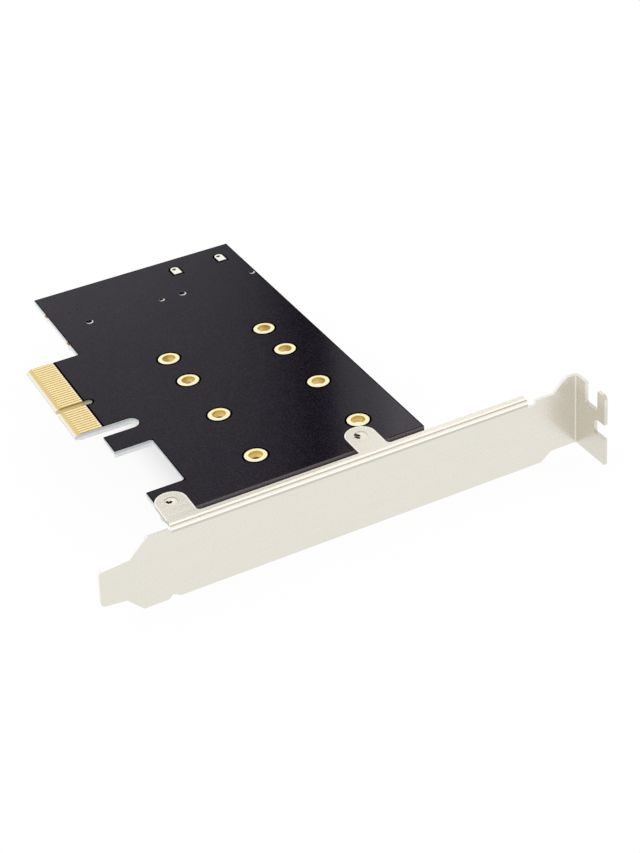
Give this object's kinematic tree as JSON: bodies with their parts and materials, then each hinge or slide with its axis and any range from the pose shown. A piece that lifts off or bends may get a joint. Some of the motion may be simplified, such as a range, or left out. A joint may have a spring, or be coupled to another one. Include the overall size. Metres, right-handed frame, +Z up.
{
  "type": "nvme adapter card",
  "caption": "Adapter card that carries M.2 storage modules on a x4 card-edge board with a full-height slot bracket, seen solder side up.",
  "frame": {"origin": "on the bracket's outer face, level with the component face of the board and the tip of the card-edge tongue", "axes": "+X from the tongue's tip towards the free edge of the board and the bracket's flange, +Y from the bracket's outer face into the board, +Z up out of the solder face"},
  "size_m": [0.12, 0.1247, 0.0207],
  "materials": {
    "solder_mask_black": "matte black solder mask over glass-fibre epoxy",
    "nickel_plated_steel": "satin nickel-plated sheet",
    "screw_steel": "nickel-plated screw",
    "gold_plating": "thin gold over nickel",
    "socket_plastic": "black glass-filled moulding",
    "tin_plating": "bright tin",
    "capacitor_ceramic": "fired tan ceramic",
    "resistor_glaze": "black glazed top",
    "lamp_resin": "clear resin",
    "moulding_epoxy": "fine matte moulding compound"
  },
  "bodies": {
    "root": {"circuit_board": "solder_mask_black", "mounting_bracket": "nickel_plated_steel", "bracket_screws": "screw_steel", "hole_liner_a_2230": "gold_plating", "hole_liner_a_2242": "gold_plating", "hole_liner_a_2260": "gold_plating", "hole_liner_a_2280": "gold_plating", "hole_liner_b_2230": "gold_plating", "hole_liner_b_2242": "gold_plating", "hole_liner_b_2260": "gold_plating", "hole_liner_b_2280": "gold_plating", "edge_contacts_solder_side": "gold_plating", "edge_contacts_component_side": "gold_plating", "m_key_socket_housing": "socket_plastic", "m_key_socket_contacts": "gold_plating", "m_key_socket_holders": "tin_plating", "b_key_socket_housing": "socket_plastic", "b_key_socket_contacts": "gold_plating", "b_key_socket_holders": "tin_plating", "sata_header_housing": "socket_plastic", "sata_header_contacts": "gold_plating", "sata_board_locks": "tin_plating", "sata_lock_solder": "tin_plating", "coupling_capacitors": "capacitor_ceramic", "coupling_capacitor_ends": "tin_plating", "chip_resistors": "resistor_glaze", "chip_resistor_ends": "tin_plating", "status_lamps": "lamp_resin", "status_lamp_ends": "tin_plating", "bulk_capacitors": "moulding_epoxy", "bulk_capacitor_leads": "tin_plating", "voltage_regulator": "moulding_epoxy", "regulator_leads": "tin_plating", "power_inductor": "moulding_epoxy", "inductor_ends": "tin_plating"}
  },
  "joints": []
}
